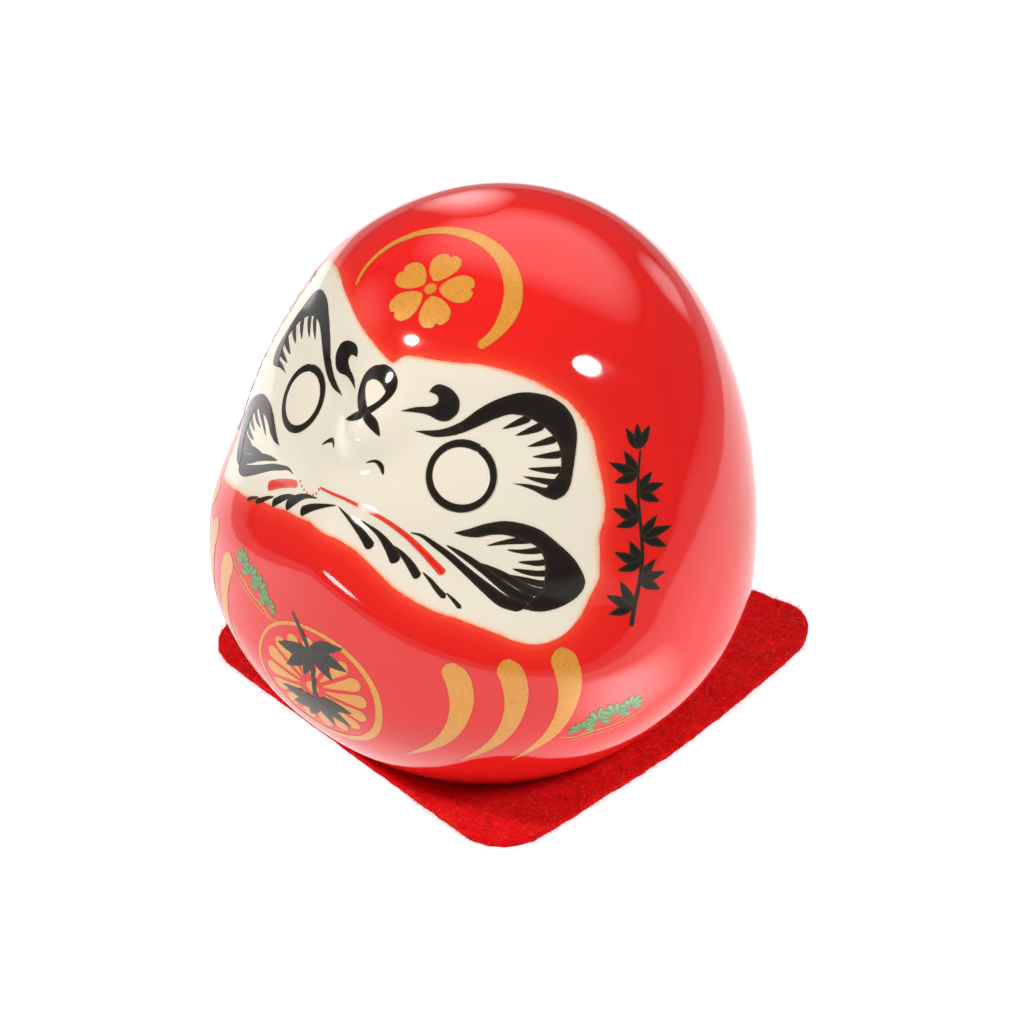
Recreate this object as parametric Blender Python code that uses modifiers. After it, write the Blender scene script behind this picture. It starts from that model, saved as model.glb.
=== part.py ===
"""Daruma doll: a hollow pottery doll with a flat foot, standing loose on a square of felt.

The doll is turned about +Z and then modelled like its mould: the front is a little flatter than the back, the head
leans back, the cheeks are sunk, and the forehead, the bridge of the nose and the mouth stand proud. The face looks
along -Y and its right half lies at -X. The origin is on the doll's upright axis, at the underside of the felt.
"""

import math

import bmesh
import bpy
from mathutils import Vector

# The turned form
HALF_WIDTH = 0.0400
HEIGHT = 0.0757
WAIST_HEIGHT = 0.0224  # where the doll is widest
BASE_RADIUS = 0.0264
CROWN_POWER = 2.14  # roundness above the waist; 2 is an ellipse
BELLY_POWER = 1.77  # how late the belly draws in below it; 1 is a straight cone

# The foot, the vent and the cavity
FOOT_EDGE = 0.0008  # how far the foot's outer edge is eased
FOOT_RING_INNER = 0.0205
FOOT_RECESS = 0.0006
VENT_RADIUS = 0.0055
WALL = 0.0030
FLOOR = 0.0036

# How the turned form is modelled
FRONT_DEPTH = 0.95  # depth of the front as a share of the half width
BACK_DEPTH = 0.97
LEAN = 0.0072  # how far back the crown stands from the axis
HOLLOW_DEPTH = 0.0042  # how far the face is sunk
HOLLOW_FOOT = 0.0389  # where the hollow starts, on the middle line
HOLLOW_RISE = 0.0100  # height over which it reaches its depth
HOLLOW_FLARE = 0.33  # how much lower it starts, for each unit away from the middle line
HOLLOW_SIDE = 0.0321  # where its sides start to come up
HOLLOW_SIDE_WIDTH = 0.0100
FOREHEAD_FOOT = 0.0580  # where the forehead starts to come back out of the hollow
FOREHEAD_RISE = 0.0120
NOSE = {"height": 0.0048, "z": 0.0584, "half_width": 0.0050, "above": 0.0043, "below": 0.0043}
MOUTH = {"height": 0.0028, "z": 0.0489, "half_width": 0.0110, "above": 0.0061, "below": 0.0100}
FRONT_TURN = 0.35  # cosine of the bearing at which the face's relief has its full height
CAVITY_SHARE = 0.5  # the slip fills the nose and the mouth from behind, so the cavity follows them by half

# The felt
MAT_SIDE = 0.0668
MAT_CORNER = 0.0080
MAT_THICKNESS = 0.0010
MAT_CENTRE = (-0.0002, 0.0081)
MAT_TURN = math.radians(-8.0)
CURL_HEIGHT = 0.0050  # how far the corner that lies free stands up
CURL_START = 0.0220  # where the felt leaves the table, along its diagonal from its centre; clear of the foot
CURL_POWER = 1.5
GAP = 0.0003  # between the felt and the foot

# Fineness of the solids
TURN_STEPS = 72
CROWN_STEPS = 24
BELLY_STEPS = 8
CAVITY_STEPS = 12
CORNER_STEPS = 8
CURL_STEPS = 9


def eased(share):
    """0 below 0, 1 above 1, and a smooth step between."""
    share = min(1.0, max(0.0, share))
    return share * share * (3 - 2 * share)


def turned_radius(z):
    """Radius of the turned form at height z above the foot."""
    if z >= WAIST_HEIGHT:
        up = min(1.0, (z - WAIST_HEIGHT) / (HEIGHT - WAIST_HEIGHT))
        return HALF_WIDTH * (1 - up**CROWN_POWER) ** (1 / CROWN_POWER)
    down = (WAIST_HEIGHT - z) / WAIST_HEIGHT
    return HALF_WIDTH - (HALF_WIDTH - BASE_RADIUS) * down**BELLY_POWER


def crown_height(share):
    """Height on the crown: share runs from 0 at the waist to 1 at the top, closer together near the top."""
    return WAIST_HEIGHT + (HEIGHT - WAIST_HEIGHT) * math.sin(share * math.pi / 2)


def outer_side():
    """(radius, z) down the outside, from the top to the eased edge of the foot."""
    crown = [crown_height(1 - i / CROWN_STEPS) for i in range(1, CROWN_STEPS + 1)]
    fall = (WAIST_HEIGHT - FOOT_EDGE) / BELLY_STEPS
    belly = [WAIST_HEIGHT - i * fall for i in range(1, BELLY_STEPS + 1)]
    return [(0.0, HEIGHT)] + [(turned_radius(z), z) for z in crown + belly]


def cavity_side():
    """(radius, z) up the inside, from the floor's rim to the top, a wall's thickness within the outside."""
    side = []
    for i in range(CAVITY_STEPS):
        z = FLOOR + (crown_height(0.9) - FLOOR) * i / (CAVITY_STEPS - 1)
        step = 0.0001
        slope = (turned_radius(z + step) - turned_radius(z - step)) / (2 * step)
        length = math.hypot(1, slope)
        side.append((turned_radius(z) - WALL / length, z + WALL * slope / length))
    side[0] = (side[0][0], FLOOR)
    return side + [(0.0, HEIGHT - WALL)]


def bump(x, z, shape):
    """Height of a rounded bump on the middle line."""
    across = x / shape["half_width"]
    up = (z - shape["z"]) / shape["above" if z > shape["z"] else "below"]
    return shape["height"] * math.exp(-across * across - up * up)


def modelled(x, y, z, share):
    """Where the mould puts a point of the turned form; share is how far it follows the nose and the mouth."""
    radius = math.hypot(x, y)
    bearing = -y / radius if radius > 1e-9 else 0.0
    depth = y * (FRONT_DEPTH if y < 0 else BACK_DEPTH)
    side = 1 - eased((abs(x) - HOLLOW_SIDE) / HOLLOW_SIDE_WIDTH)
    hollow = eased((z - HOLLOW_FOOT + HOLLOW_FLARE * abs(x)) / HOLLOW_RISE)
    forehead = eased((z - FOREHEAD_FOOT) / FOREHEAD_RISE)
    relief = side * HOLLOW_DEPTH * (hollow - forehead) - share * (bump(x, z, NOSE) + bump(x, z, MOUTH))
    return x, depth + LEAN * (z / HEIGHT) ** 2 + relief * eased(bearing / FRONT_TURN), z


def material(name, colour, roughness):
    """A Principled material of one colour."""
    made = bpy.data.materials.new(name)
    made.use_nodes = True
    shader = made.node_tree.nodes["Principled BSDF"]
    shader.inputs["Base Color"].default_value = (*colour, 1.0)
    shader.inputs["Roughness"].default_value = roughness
    return made


def mesh_of(maker):
    """The mesh that an object's modifiers or curve give; the object itself is removed."""
    evaluated = maker.evaluated_get(bpy.context.evaluated_depsgraph_get())
    mesh = bpy.data.meshes.new_from_object(evaluated)
    bpy.data.objects.remove(maker)
    return mesh


def turned_mesh(profile):
    """The closed mesh of a profile turned about Z."""
    mesh = bpy.data.meshes.new("profile")
    edges = [(i, i + 1) for i in range(len(profile) - 1)]
    mesh.from_pydata([(radius, 0.0, z) for radius, z in profile], edges, [])
    maker = bpy.data.objects.new("profile", mesh)
    bpy.context.scene.collection.objects.link(maker)
    screw = maker.modifiers.new("turn", "SCREW")
    screw.steps = screw.render_steps = TURN_STEPS
    screw.use_merge_vertices = True
    screw.merge_threshold = 0.00001
    bpy.context.view_layer.update()
    return mesh_of(maker)


def ceramic_body(parts):
    """The doll: outside, foot ring, recessed underside, vent hole and cavity in one closed surface."""
    outside = outer_side()
    underside = [
        (BASE_RADIUS - FOOT_EDGE, 0.0),
        (FOOT_RING_INNER, 0.0),
        (FOOT_RING_INNER - FOOT_RECESS, FOOT_RECESS),
        (VENT_RADIUS, FOOT_RECESS),
        (VENT_RADIUS, FLOOR),
    ]
    cavity = cavity_side()
    mesh = turned_mesh(outside + underside + cavity)
    lowest_cavity = FLOOR - 0.00001
    for vertex in mesh.vertices:
        x, y, z = vertex.co
        inside = z > lowest_cavity and math.hypot(x, y) < turned_radius(z) - WALL / 2
        vertex.co = modelled(x, y, z, CAVITY_SHARE if inside else 1.0)
    mesh.shade_smooth()
    mesh.set_sharp_from_angle(angle=math.radians(40))
    mesh.materials.clear()
    mesh.materials.append(material("red_glaze", (0.80, 0.014, 0.011), 0.08))
    body = bpy.data.objects.new("ceramic_body", mesh)
    body.location.z = MAT_THICKNESS + GAP
    parts.objects.link(body)
    return body


def rounded_square(side, corner):
    """The outline of a square with round corners, centred on the origin."""
    straight = side / 2 - corner
    centres = [(straight, straight), (-straight, straight), (-straight, -straight), (straight, -straight)]
    outline = []
    for quarter, (x, y) in enumerate(centres):
        for i in range(CORNER_STEPS + 1):
            angle = math.pi / 2 * (quarter + i / CORNER_STEPS)
            outline.append((x + corner * math.cos(angle), y + corner * math.sin(angle)))
    return outline


def curl_up(felt):
    """Bends the felt up towards one corner: cuts across the diagonal give it the edges that it bends along."""
    diagonal = Vector((1.0, 1.0, 0.0)).normalized()
    reach = (MAT_SIDE / 2 - MAT_CORNER) * math.sqrt(2) + MAT_CORNER - CURL_START
    for i in range(CURL_STEPS):
        everything = [*felt.verts, *felt.edges, *felt.faces]
        cut = diagonal * (CURL_START + reach * i / CURL_STEPS)
        bmesh.ops.bisect_plane(felt, geom=everything, dist=0.000001, plane_co=cut, plane_no=diagonal)
    for vertex in felt.verts:
        along = (vertex.co.dot(diagonal) - CURL_START) / reach
        vertex.co.z += CURL_HEIGHT * max(0.0, along) ** CURL_POWER


def felt_mat(parts):
    """The felt under the doll: a flat outline with its thickness, one corner curled up."""
    outline = rounded_square(MAT_SIDE, MAT_CORNER)
    curve = bpy.data.curves.new("felt_outline", "CURVE")
    curve.dimensions = "2D"
    curve.fill_mode = "BOTH"
    curve.extrude = MAT_THICKNESS / 2
    spline = curve.splines.new("POLY")
    spline.points.add(len(outline) - 1)
    for point, (x, y) in zip(spline.points, outline):
        point.co = (x, y, 0.0, 1.0)
    spline.use_cyclic_u = True
    maker = bpy.data.objects.new("felt_outline", curve)
    bpy.context.scene.collection.objects.link(maker)
    bpy.context.view_layer.update()
    mesh = mesh_of(maker)
    welded = bmesh.new()
    welded.from_mesh(mesh)
    bmesh.ops.remove_doubles(welded, verts=welded.verts, dist=0.00001)
    curl_up(welded)
    welded.to_mesh(mesh)
    welded.free()
    mesh.materials.clear()
    mesh.materials.append(material("red_felt", (0.61, 0.006, 0.008), 0.95))
    mat = bpy.data.objects.new("felt_mat", mesh)
    mat.location = (*MAT_CENTRE, MAT_THICKNESS / 2)
    mat.rotation_euler.z = MAT_TURN
    parts.objects.link(mat)
    return mat


def main():
    for old in list(bpy.data.objects):
        bpy.data.objects.remove(old)
    parts = bpy.data.collections.new("daruma_doll")
    bpy.context.scene.collection.children.link(parts)
    felt_mat(parts)
    ceramic_body(parts)
    bpy.context.view_layer.update()


main()
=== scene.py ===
"""Looks of the daruma doll: a glazed and painted pottery doll on a square of red felt.

The doll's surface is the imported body's own form made fine. Everything painted on it is a thin closed film
that is printed back onto that surface from a flat chart, so the brushwork follows the nose and the cheeks.
Lengths are in metres. Charts, brush strokes and outlines are in millimetres, up from the doll's foot.
"""

import math
import random

import bpy
import numpy as np
from mathutils import Matrix, Vector, geometry, interpolate, noise
from mathutils.bvhtree import BVHTree
from mathutils.kdtree import KDTree


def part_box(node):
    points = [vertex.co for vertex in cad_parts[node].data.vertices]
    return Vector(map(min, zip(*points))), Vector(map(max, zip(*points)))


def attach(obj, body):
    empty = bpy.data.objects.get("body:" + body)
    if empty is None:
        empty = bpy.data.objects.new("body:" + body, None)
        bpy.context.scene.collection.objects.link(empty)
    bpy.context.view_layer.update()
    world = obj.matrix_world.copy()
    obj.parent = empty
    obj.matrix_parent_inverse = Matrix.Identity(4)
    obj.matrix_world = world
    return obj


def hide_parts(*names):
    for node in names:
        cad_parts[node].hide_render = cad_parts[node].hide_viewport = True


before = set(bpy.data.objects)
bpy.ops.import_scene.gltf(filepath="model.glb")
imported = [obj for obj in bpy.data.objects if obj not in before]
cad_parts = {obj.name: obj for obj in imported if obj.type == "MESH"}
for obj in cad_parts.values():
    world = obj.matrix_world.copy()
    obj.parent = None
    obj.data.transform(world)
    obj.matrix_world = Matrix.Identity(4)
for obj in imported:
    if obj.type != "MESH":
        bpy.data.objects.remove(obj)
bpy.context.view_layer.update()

MM = 0.001

# The turned form and its modelling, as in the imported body
HALF_WIDTH = 0.0400
HEIGHT = 0.0757
WAIST_HEIGHT = 0.0224
BASE_RADIUS = 0.0264
CROWN_POWER = 2.14
BELLY_POWER = 1.77
FOOT_EDGE = 0.0008
FOOT_RING_INNER = 0.0205
FOOT_RECESS = 0.0006
VENT_RADIUS = 0.0055
VENT_EASE = (0.0006, 0.0004)  # how far the vent's lip is eased, outwards and upwards
WALL = 0.0030
FLOOR = 0.0036
FRONT_DEPTH = 0.95
BACK_DEPTH = 0.97
LEAN = 0.0072
HOLLOW_DEPTH = 0.0042
HOLLOW_FOOT = 0.0389
HOLLOW_RISE = 0.0100
HOLLOW_FLARE = 0.33
HOLLOW_SIDE = 0.0321
HOLLOW_SIDE_WIDTH = 0.0100
FOREHEAD_FOOT = 0.0580
FOREHEAD_RISE = 0.0120
NOSE = {"height": 0.0048, "z": 0.0584, "half_width": 0.0050, "above": 0.0043, "below": 0.0043}
MOUTH = {"height": 0.0028, "z": 0.0489, "half_width": 0.0110, "above": 0.0061, "below": 0.0100}
FRONT_TURN = 0.35
CAVITY_SHARE = 0.5
FOOT_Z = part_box("ceramic_body")[0][2]

# Fineness of the glazed surface
TURN_STEPS = 360
CROWN_STEPS = 120
BELLY_STEPS = 46
EDGE_STEPS = 5
CAVITY_STEPS = 16

# The films of colour
FILM = 0.04  # thickness of one layer, mm
FILM_ROOT = 0.05  # how far a film reaches into what is under it, mm
STROKE_STEP = 0.35  # spacing of the points along a stroke, mm
FILL_STEP = 0.8  # spacing of the points inside a filled outline, mm
STAGGER = 0.002  # films of one layer differ in height by this, mm, so that where two overlap one is on top
STAGGERS = 4  # how many heights they take in turn
BROAD_END = 0.6  # an end of a stroke that is wider than this, in mm, gets more points to be round
END_SHARES = (0.03, 0.12, 0.30)  # where those points are, in widths from the end
SAME_PLACE = 0.01  # points closer than this along a stroke count as one, mm
SHORT_END = 0.08  # least length over which a stroke's end is rounded, mm
THIN_HALF = 0.01  # least half width of a stroke, mm
CLEAR_OF_BODY = 0.06  # how far in front of its chart a point starts on its way to the doll

# The felt
MAT_SIDE = 0.0668
MAT_CORNER = 0.0080
MAT_THICKNESS = 0.0010
MAT_TURN = math.radians(-8.0)
CURL_HEIGHT = 0.0050
CURL_START = 0.0220
CURL_POWER = 1.5

# The light table
TABLE_CENTRE = (-0.028, 0.035)
TABLE_RADIUS = 0.190
TABLE_FADE = 0.012
TABLE_GLOW = 0.78
HOT_SPOT = (0.075, -0.010)  # where a lamp's light falls on the table at the doll's left
HOT_GLOW = 3.2

# The camera
CAMERA_AZIMUTH = math.radians(38.94)
CAMERA_ELEVATION = math.radians(37.27)
CAMERA_DISTANCE = 0.560
CAMERA_PAN = (0.00491, 0.02341)  # right and up from the doll's foot
CAMERA_LENS = 132.9

# What lights the doll: (name, azimuth, elevation, distance, size, radiance), and a panel's bright core
LAMPS = [
    ("key_lamp", -40, 44, 0.9, (0.095, 0.105), 200.0),
    ("low_lamp", -4, 11, 0.9, (0.22, 0.10), 15.0),
    ("side_lamp", 94, 45, 0.9, (0.20, 0.22), 44.0),
]
PANELS = [
    ("back_panel", -160, 50, 1.1, (2.0, 1.15), 1.5, 0.5),
    ("back_strip", -134, 12, 1.05, (0.34, 0.75), 2.4, 0.2),
    ("far_panel", 179, 5, 1.1, (0.40, 0.45), 1.4, 0.4),
    ("right_panel", -75, 28, 1.0, (0.8, 0.6), 0.8, 0.2),
]
ROOM_LIGHT = 0.12


# ---------------------------------------------------------------- form

def eased(share):
    """0 below 0, 1 above 1, and a smooth step between."""
    share = min(1.0, max(0.0, share))
    return share * share * (3 - 2 * share)


def turned_radius(z):
    """Radius of the turned form at height z above the foot."""
    if z >= WAIST_HEIGHT:
        up = min(1.0, (z - WAIST_HEIGHT) / (HEIGHT - WAIST_HEIGHT))
        return HALF_WIDTH * (1 - up**CROWN_POWER) ** (1 / CROWN_POWER)
    down = (WAIST_HEIGHT - z) / WAIST_HEIGHT
    return HALF_WIDTH - (HALF_WIDTH - BASE_RADIUS) * down**BELLY_POWER


def crown_height(share):
    """Height on the crown: share runs from 0 at the waist to 1 at the top, closer together near the top."""
    return WAIST_HEIGHT + (HEIGHT - WAIST_HEIGHT) * math.sin(share * math.pi / 2)


def bump(x, z, shape):
    """Height of a rounded bump on the middle line."""
    across = x / shape["half_width"]
    up = (z - shape["z"]) / shape["above" if z > shape["z"] else "below"]
    return shape["height"] * math.exp(-across * across - up * up)


def modelled(x, y, z, share):
    """Where the mould puts a point of the turned form; share is how far it follows the nose and the mouth."""
    radius = math.hypot(x, y)
    bearing = -y / radius if radius > 1e-9 else 0.0
    depth = y * (FRONT_DEPTH if y < 0 else BACK_DEPTH)
    side = 1 - eased((abs(x) - HOLLOW_SIDE) / HOLLOW_SIDE_WIDTH)
    hollow = eased((z - HOLLOW_FOOT + HOLLOW_FLARE * abs(x)) / HOLLOW_RISE)
    forehead = eased((z - FOREHEAD_FOOT) / FOREHEAD_RISE)
    relief = side * HOLLOW_DEPTH * (hollow - forehead) - share * (bump(x, z, NOSE) + bump(x, z, MOUTH))
    return x, depth + LEAN * (z / HEIGHT) ** 2 + relief * eased(bearing / FRONT_TURN), z


def glazed_side():
    """(radius, z) down the glazed outside, from just under the top to the rounded edge of the foot."""
    crown = [crown_height(1 - i / CROWN_STEPS) for i in range(1, CROWN_STEPS + 1)]
    fall = (WAIST_HEIGHT - FOOT_EDGE) / BELLY_STEPS
    belly = [WAIST_HEIGHT - i * fall for i in range(1, BELLY_STEPS + 1)]
    side = [(turned_radius(z), z) for z in crown + belly]
    start, bend, end = side[-1], (BASE_RADIUS, 0.0), (BASE_RADIUS - FOOT_EDGE, 0.0)
    for i in range(1, EDGE_STEPS + 1):
        t = i / EDGE_STEPS
        weights = ((1 - t) ** 2, 2 * t * (1 - t), t * t)
        side.append(tuple(sum(w * p[k] for w, p in zip(weights, (start, bend, end))) for k in (0, 1)))
    return side


def bare_side():
    """(radius, z) under the foot, up the vent and up the cavity: the unglazed clay."""
    side = [
        (FOOT_RING_INNER, 0.0),
        (FOOT_RING_INNER - FOOT_RECESS, FOOT_RECESS),
        (VENT_RADIUS + VENT_EASE[0], FOOT_RECESS),
        (VENT_RADIUS, FOOT_RECESS + VENT_EASE[1]),
        (VENT_RADIUS, FLOOR),
    ]
    for i in range(CAVITY_STEPS):
        z = FLOOR + (crown_height(0.9) - FLOOR) * i / (CAVITY_STEPS - 1)
        step = 0.0001
        slope = (turned_radius(z + step) - turned_radius(z - step)) / (2 * step)
        length = math.hypot(1, slope)
        side.append((turned_radius(z) - WALL / length, FLOOR if i == 0 else z + WALL * slope / length))
    return side


# ---------------------------------------------------------------- meshes

def new_piece(name, points, faces, body, materials, normals=None):
    """A mesh object that rides on a body and carries the materials it is given."""
    mesh = bpy.data.meshes.new(name)
    mesh.from_pydata([tuple(p) for p in points], [], faces)
    for made in materials:
        mesh.materials.append(made)
    mesh.shade_smooth()
    if normals is not None:
        mesh.normals_split_custom_set_from_vertices([tuple(n) for n in normals])
    piece = bpy.data.objects.new(name, mesh)
    bpy.context.scene.collection.objects.link(piece)
    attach(piece, body)
    return piece


def set_floats(piece, name, values):
    """Stores one number on each vertex, for the piece's material."""
    attribute = piece.data.attributes.new(name, "FLOAT", "POINT")
    attribute.data.foreach_set("value", np.asarray(values, np.float32))


def ring_faces(rings, columns, top_pole, end_pole):
    """The quads between rings that share a column count, and the fans that close both ends."""
    faces = []
    around = [(j, (j + 1) % columns) for j in range(columns)]
    faces += [(top_pole, j, k) for j, k in around]
    for i in range(rings - 1):
        high, low = i * columns, (i + 1) * columns
        faces += [(high + j, low + j, low + k, high + k) for j, k in around]
    last = (rings - 1) * columns
    faces += [(last + j, end_pole, last + k) for j, k in around]
    return faces


# ---------------------------------------------------------------- outlines and strokes

def bend(before, start, end, after, t):
    """A point between start and end, at share t, of a smooth line through the four."""
    return (2 * start + (end - before) * t + (2 * before - 5 * start + 4 * end - after) * t * t
            + (3 * start - before - 3 * end + after) * t**3) / 2


def smooth_run(points, step=STROKE_STEP):
    """Points about step apart along a smooth line through the given ones. Each may carry further values."""
    rows = [np.array(p, float) for p in points]
    if len(rows) == 2:
        rows.insert(1, (rows[0] + rows[1]) / 2)
    rows = [2 * rows[0] - rows[1], *rows, 2 * rows[-1] - rows[-2]]
    made = []
    for spots in zip(rows, rows[1:], rows[2:], rows[3:]):
        count = max(1, math.ceil(np.linalg.norm((spots[2] - spots[1])[:2]) / step))
        made += [bend(*spots, i / count) for i in range(count)]
    made.append(rows[-2])
    return made


def outline_of(*runs, step=STROKE_STEP):
    """A closed outline from smooth runs that meet at corners."""
    made = []
    for run in runs:
        made += [p[:2] for p in smooth_run(run, step)[:-1]]
    return made


def closed_run(points, around=48):
    """A smooth closed outline through the given points, with no corner."""
    rows = np.array(points, float)
    count = len(rows)
    made = []
    for i in range(around):
        share = i * count / around
        spots = (rows[(int(share) + j) % count] for j in (-1, 0, 1, 2))
        made.append(bend(*spots, share % 1))
    return made


def unsteady(outline, size, length, seed):
    """The outline with the small wander that a hand gives it."""
    made = []
    for u, v in outline:
        place = Vector((u / length, v / length, seed))
        made.append((u + size * noise.noise(place), v + size * noise.noise(place + Vector((0, 0, 7.3)))))
    return made


def on_ellipse(centre, radii, turn):
    """The point of an ellipse at an angle in radians from its right."""
    return centre[0] + radii[0] * math.cos(turn), centre[1] + radii[1] * math.sin(turn)


def ellipse(centre, radii, start=0.0, end=360.0, count=48):
    """Points on an ellipse, between two angles in degrees from its right."""
    turns = [math.radians(start + (end - start) * i / count) for i in range(count + 1)]
    return [on_ellipse(centre, radii, turn) for turn in turns]


# ---------------------------------------------------------------- the doll's body

class Body:
    """The fine glazed body, and the printing of flat charts onto it."""

    def __init__(self):
        glazed, bare = glazed_side(), bare_side()
        turns = [2 * math.pi * j / TURN_STEPS for j in range(TURN_STEPS)]
        points = []
        for i, (radius, z) in enumerate(glazed + bare):
            inside = i >= len(glazed) + len(bare) - CAVITY_STEPS
            for turn in turns:
                x, y = radius * math.cos(turn), radius * math.sin(turn)
                points.append(modelled(x, y, z, CAVITY_SHARE if inside else 1.0))
        rings = len(glazed) + len(bare)
        top_pole, end_pole = rings * TURN_STEPS, rings * TURN_STEPS + 1
        points.append(modelled(0.0, 0.0, HEIGHT, 1.0))
        points.append(modelled(0.0, 0.0, HEIGHT - WALL, CAVITY_SHARE))
        self.points = [Vector((x, y, z + FOOT_Z)) for x, y, z in points]
        self.faces = ring_faces(rings, TURN_STEPS, top_pole, end_pole)
        self.glazed_faces = TURN_STEPS * len(glazed)  # the top fan and the quads down to the foot
        self.tree = BVHTree.FromPolygons(self.points, self.faces[: self.glazed_faces])
        self.normals = None

    def build(self, materials):
        """Makes the piece, in its glaze outside and bare clay under the foot."""
        self.piece = new_piece("glazed_body", self.points, self.faces, "doll", materials)
        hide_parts("ceramic_body")
        bare = [0] * self.glazed_faces + [1] * (len(self.faces) - self.glazed_faces)
        self.piece.data.polygons.foreach_set("material_index", bare)
        self.normals = [v.normal.copy() for v in self.piece.data.vertices]

    def at(self, start, direction):
        """(point, normal) where a line from start meets the glazed surface."""
        place, _, index, _ = self.tree.ray_cast(start, direction)
        if place is None:
            place, _, index, _ = self.tree.find_nearest(start)
        corners = self.faces[index]
        weights = interpolate.poly_3d_calc([self.points[c] for c in corners], place)
        normal = sum((self.normals[c] * w for c, w in zip(corners, weights)), Vector())
        return place, normal.normalized()


class Chart:
    """A flat sheet held against the doll. A point (across, up) on it is printed straight back onto it."""

    def __init__(self, body, centre=(0, 0, 0), facing=(0, -1, 0), turn=0.0):
        self.body = body
        self.facing = Vector(facing).normalized()
        up = (Vector((0, 0, 1)) - self.facing * self.facing.z).normalized()
        self.up = Matrix.Rotation(math.radians(turn), 3, self.facing) @ up
        self.right = self.up.cross(self.facing)
        self.centre = Vector(centre) * MM + Vector((0, 0, FOOT_Z))

    def on_body(self, across, up):
        """(point, normal) on the doll behind a point of the chart."""
        start = self.centre + (self.right * across + self.up * up) * MM + self.facing * CLEAR_OF_BODY
        return self.body.at(start, -self.facing)


class Films:
    """Closed thin films of one colour, gathered into one piece."""

    def __init__(self):
        self.points, self.faces, self.normals, self.values = [], [], [], []
        self.count = 0

    def add(self, chart, flat, faces, values, layer, mirror=False):
        """Prints flat points and their faces as a closed film, its top a layer's height above the glaze."""
        top = (layer * FILM + STAGGER * (self.count % STAGGERS)) * MM
        root = -FILM_ROOT * MM if layer <= 1 else ((layer - 1) * FILM - FILM_ROOT) * MM
        self.count += 1
        base, count = len(self.points), len(flat)
        printed = [chart.on_body(*p) for p in flat]
        flip = Vector((-1, 1, 1)) if mirror else Vector((1, 1, 1))
        for lift, side in ((top, 1), (root, -1)):
            for place, normal in printed:
                self.points.append((place + normal * lift) * flip)
                self.normals.append(normal * flip * side)
        self.values += list(values) * 2
        shell = [tuple(f) for f in faces] + [tuple(c + count for c in reversed(f)) for f in faces]
        edges = {}
        for f in faces:
            for a, b in zip(f, (*f[1:], f[0])):
                edges[a, b] = True
        shell += [(b, a, a + count, b + count) for a, b in edges if (b, a) not in edges]
        if mirror:
            shell = [tuple(reversed(f)) for f in shell]
        self.faces += [tuple(c + base for c in f) for f in shell]

    def fill(self, chart, outline, layer=1, step=FILL_STEP, rims=(), mirror=False):
        """A filled outline. Its values are the distance in from its edge, in millimetres."""
        edge = np.array([tuple(p) for p in outline], float)
        inner = []
        for rim in rims:
            inner += inset(edge, rim)
        low, high = edge.min(0), edge.max(0)
        # Inside the rims the points lie on a staggered grid
        clear = max([step * 0.5, *(rim + step * 0.4 for rim in rims)])
        for row in range(int((high[1] - low[1]) / step) + 1):
            for column in range(int((high[0] - low[0]) / step) + 1):
                p = low + step * np.array([column + 0.5 * (row % 2) + 0.3, row + 0.3])
                if inside_by(edge, p) > clear:
                    inner.append(tuple(p))
        flat = [Vector(p) for p in (*edge, *inner)]
        ring = list(range(len(edge)))
        made = geometry.delaunay_2d_cdt(flat, [], [ring], 1, 1e-6)
        flat, faces = made[0], [tuple(f) for f in made[2]]
        faces = [f if turns_left(flat, f) else tuple(reversed(f)) for f in faces]
        values = [max(0.0, inside_by(edge, np.array(p))) for p in flat]
        self.add(chart, flat, faces, values, layer, mirror)

    def stroke(self, chart, path, layer=2, lanes=4, mirror=False, step=STROKE_STEP):
        """A brush stroke through (across, up, width). Its values are the distance in from its edge."""
        line = np.array(smooth_run(path, step))
        run = np.concatenate([[0], np.cumsum(np.linalg.norm(np.diff(line[:, :2], axis=0), axis=1))])
        head, tail = line[0, 2], line[-1, 2]
        near = [head * share for share in END_SHARES if head > BROAD_END]
        near += [run[-1] - tail * share for share in END_SHARES if tail > BROAD_END]
        places = np.array(sorted([*run, *(n for n in near if np.abs(run - n).min() > SAME_PLACE)]))
        line = np.stack([np.interp(places, run, line[:, k]) for k in range(3)], axis=1)
        run = places
        flat, values = [], []
        along = np.gradient(line[:, :2], axis=0)
        along /= np.linalg.norm(along, axis=1, keepdims=True)
        for (u, v, width), (du, dv), here in zip(line, along, run):
            left = min(1.0, min(here, run[-1] - here) / max(SHORT_END, width / 2))
            half = max(THIN_HALF, width / 2 * math.sqrt(max(0.02, 1 - (1 - left) ** 2)))
            for lane in range(lanes + 1):
                share = 2 * lane / lanes - 1
                flat.append((u + dv * half * share, v - du * half * share))
                values.append(half * (1 - abs(share)))
        faces = []
        for i in range(len(line) - 1):
            for lane in range(lanes):
                a = i * (lanes + 1) + lane
                faces.append((a, a + 1, a + lanes + 2, a + lanes + 1))
        self.add(chart, flat, faces, values, layer, mirror)

    def build(self, name, material):
        """Makes the piece."""
        piece = new_piece(name, self.points, self.faces, "doll", [material], self.normals)
        set_floats(piece, "depth", self.values)


def inside_by(edge, p):
    """Distance of a point in from a closed outline, in its units; negative outside."""
    start, end = edge, np.roll(edge, -1, axis=0)
    along, to = end - start, p - start
    share = np.clip((along * to).sum(1) / np.maximum((along * along).sum(1), 1e-12), 0, 1)
    distance = np.sqrt(((to - along * share[:, None]) ** 2).sum(1).min())
    crosses = (start[:, 1] > p[1]) != (end[:, 1] > p[1])
    rise = np.where(crosses, end[:, 1] - start[:, 1], 1)
    at = start[:, 0] + (p[1] - start[:, 1]) / rise * along[:, 0]
    return distance if (crosses & (p[0] < at)).sum() % 2 else -distance


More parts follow.
